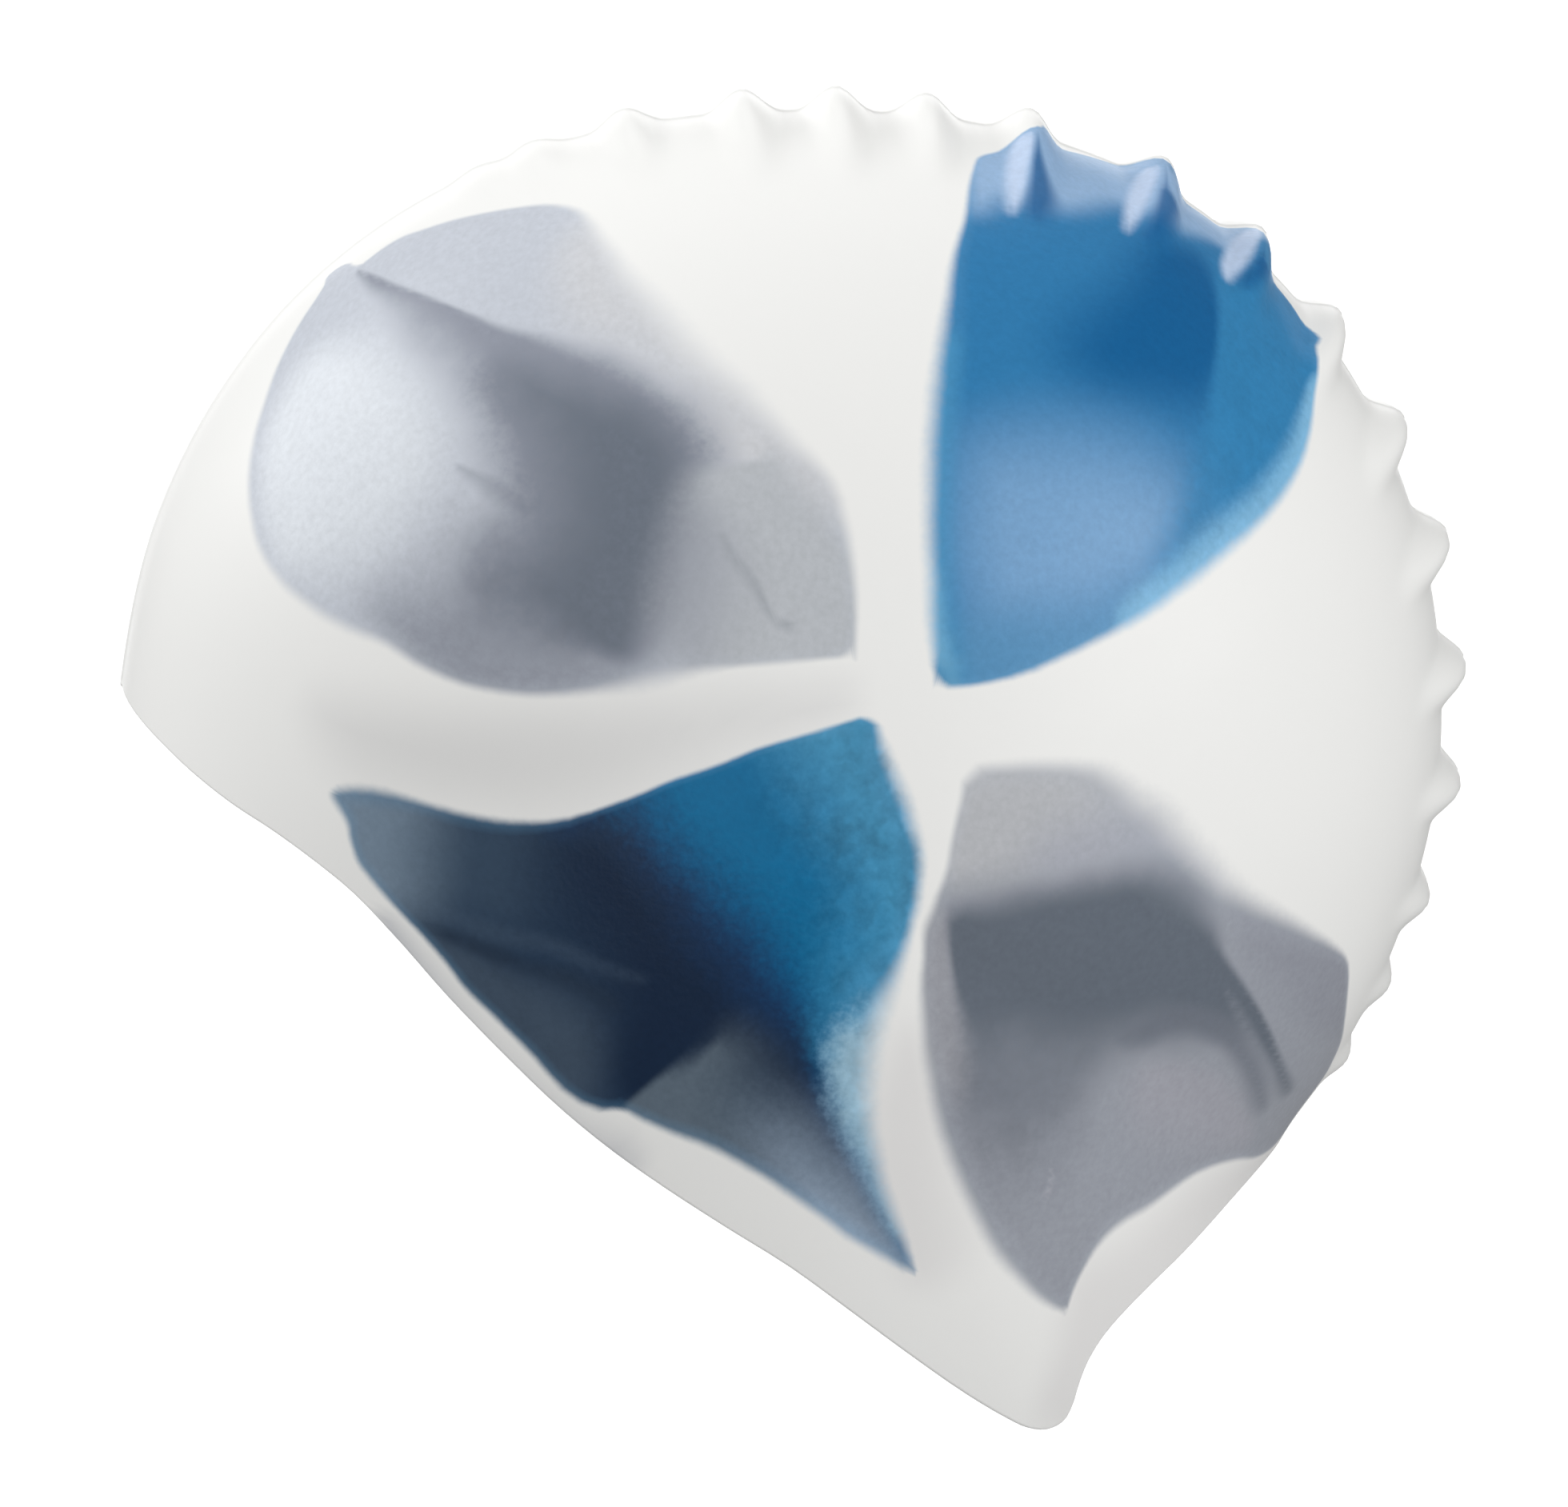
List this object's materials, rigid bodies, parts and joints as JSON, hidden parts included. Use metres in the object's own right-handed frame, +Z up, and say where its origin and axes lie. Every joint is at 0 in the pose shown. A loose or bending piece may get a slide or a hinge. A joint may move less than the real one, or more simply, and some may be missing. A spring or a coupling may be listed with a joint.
{
  "type": "swim cap",
  "caption": "One-piece moulded silicone swim cap with ear flaps and raised cross ribs along the crown line, in the form a head gives it.",
  "frame": {"origin": "inside of the crown, on the left-right mirror plane, where the cap sits on the head", "axes": "-X towards the forehead, +X towards the nape, +Y towards the wearer's right, +Z up through the crown"},
  "size_m": [0.2, 0.15, 0.1899],
  "materials": {
    "silicone": "satin milky white silicone with soft-edged slate grey, blue and teal to navy fields moulded in"
  },
  "bodies": {
    "root": {"cap_shell": "silicone"}
  },
  "joints": []
}
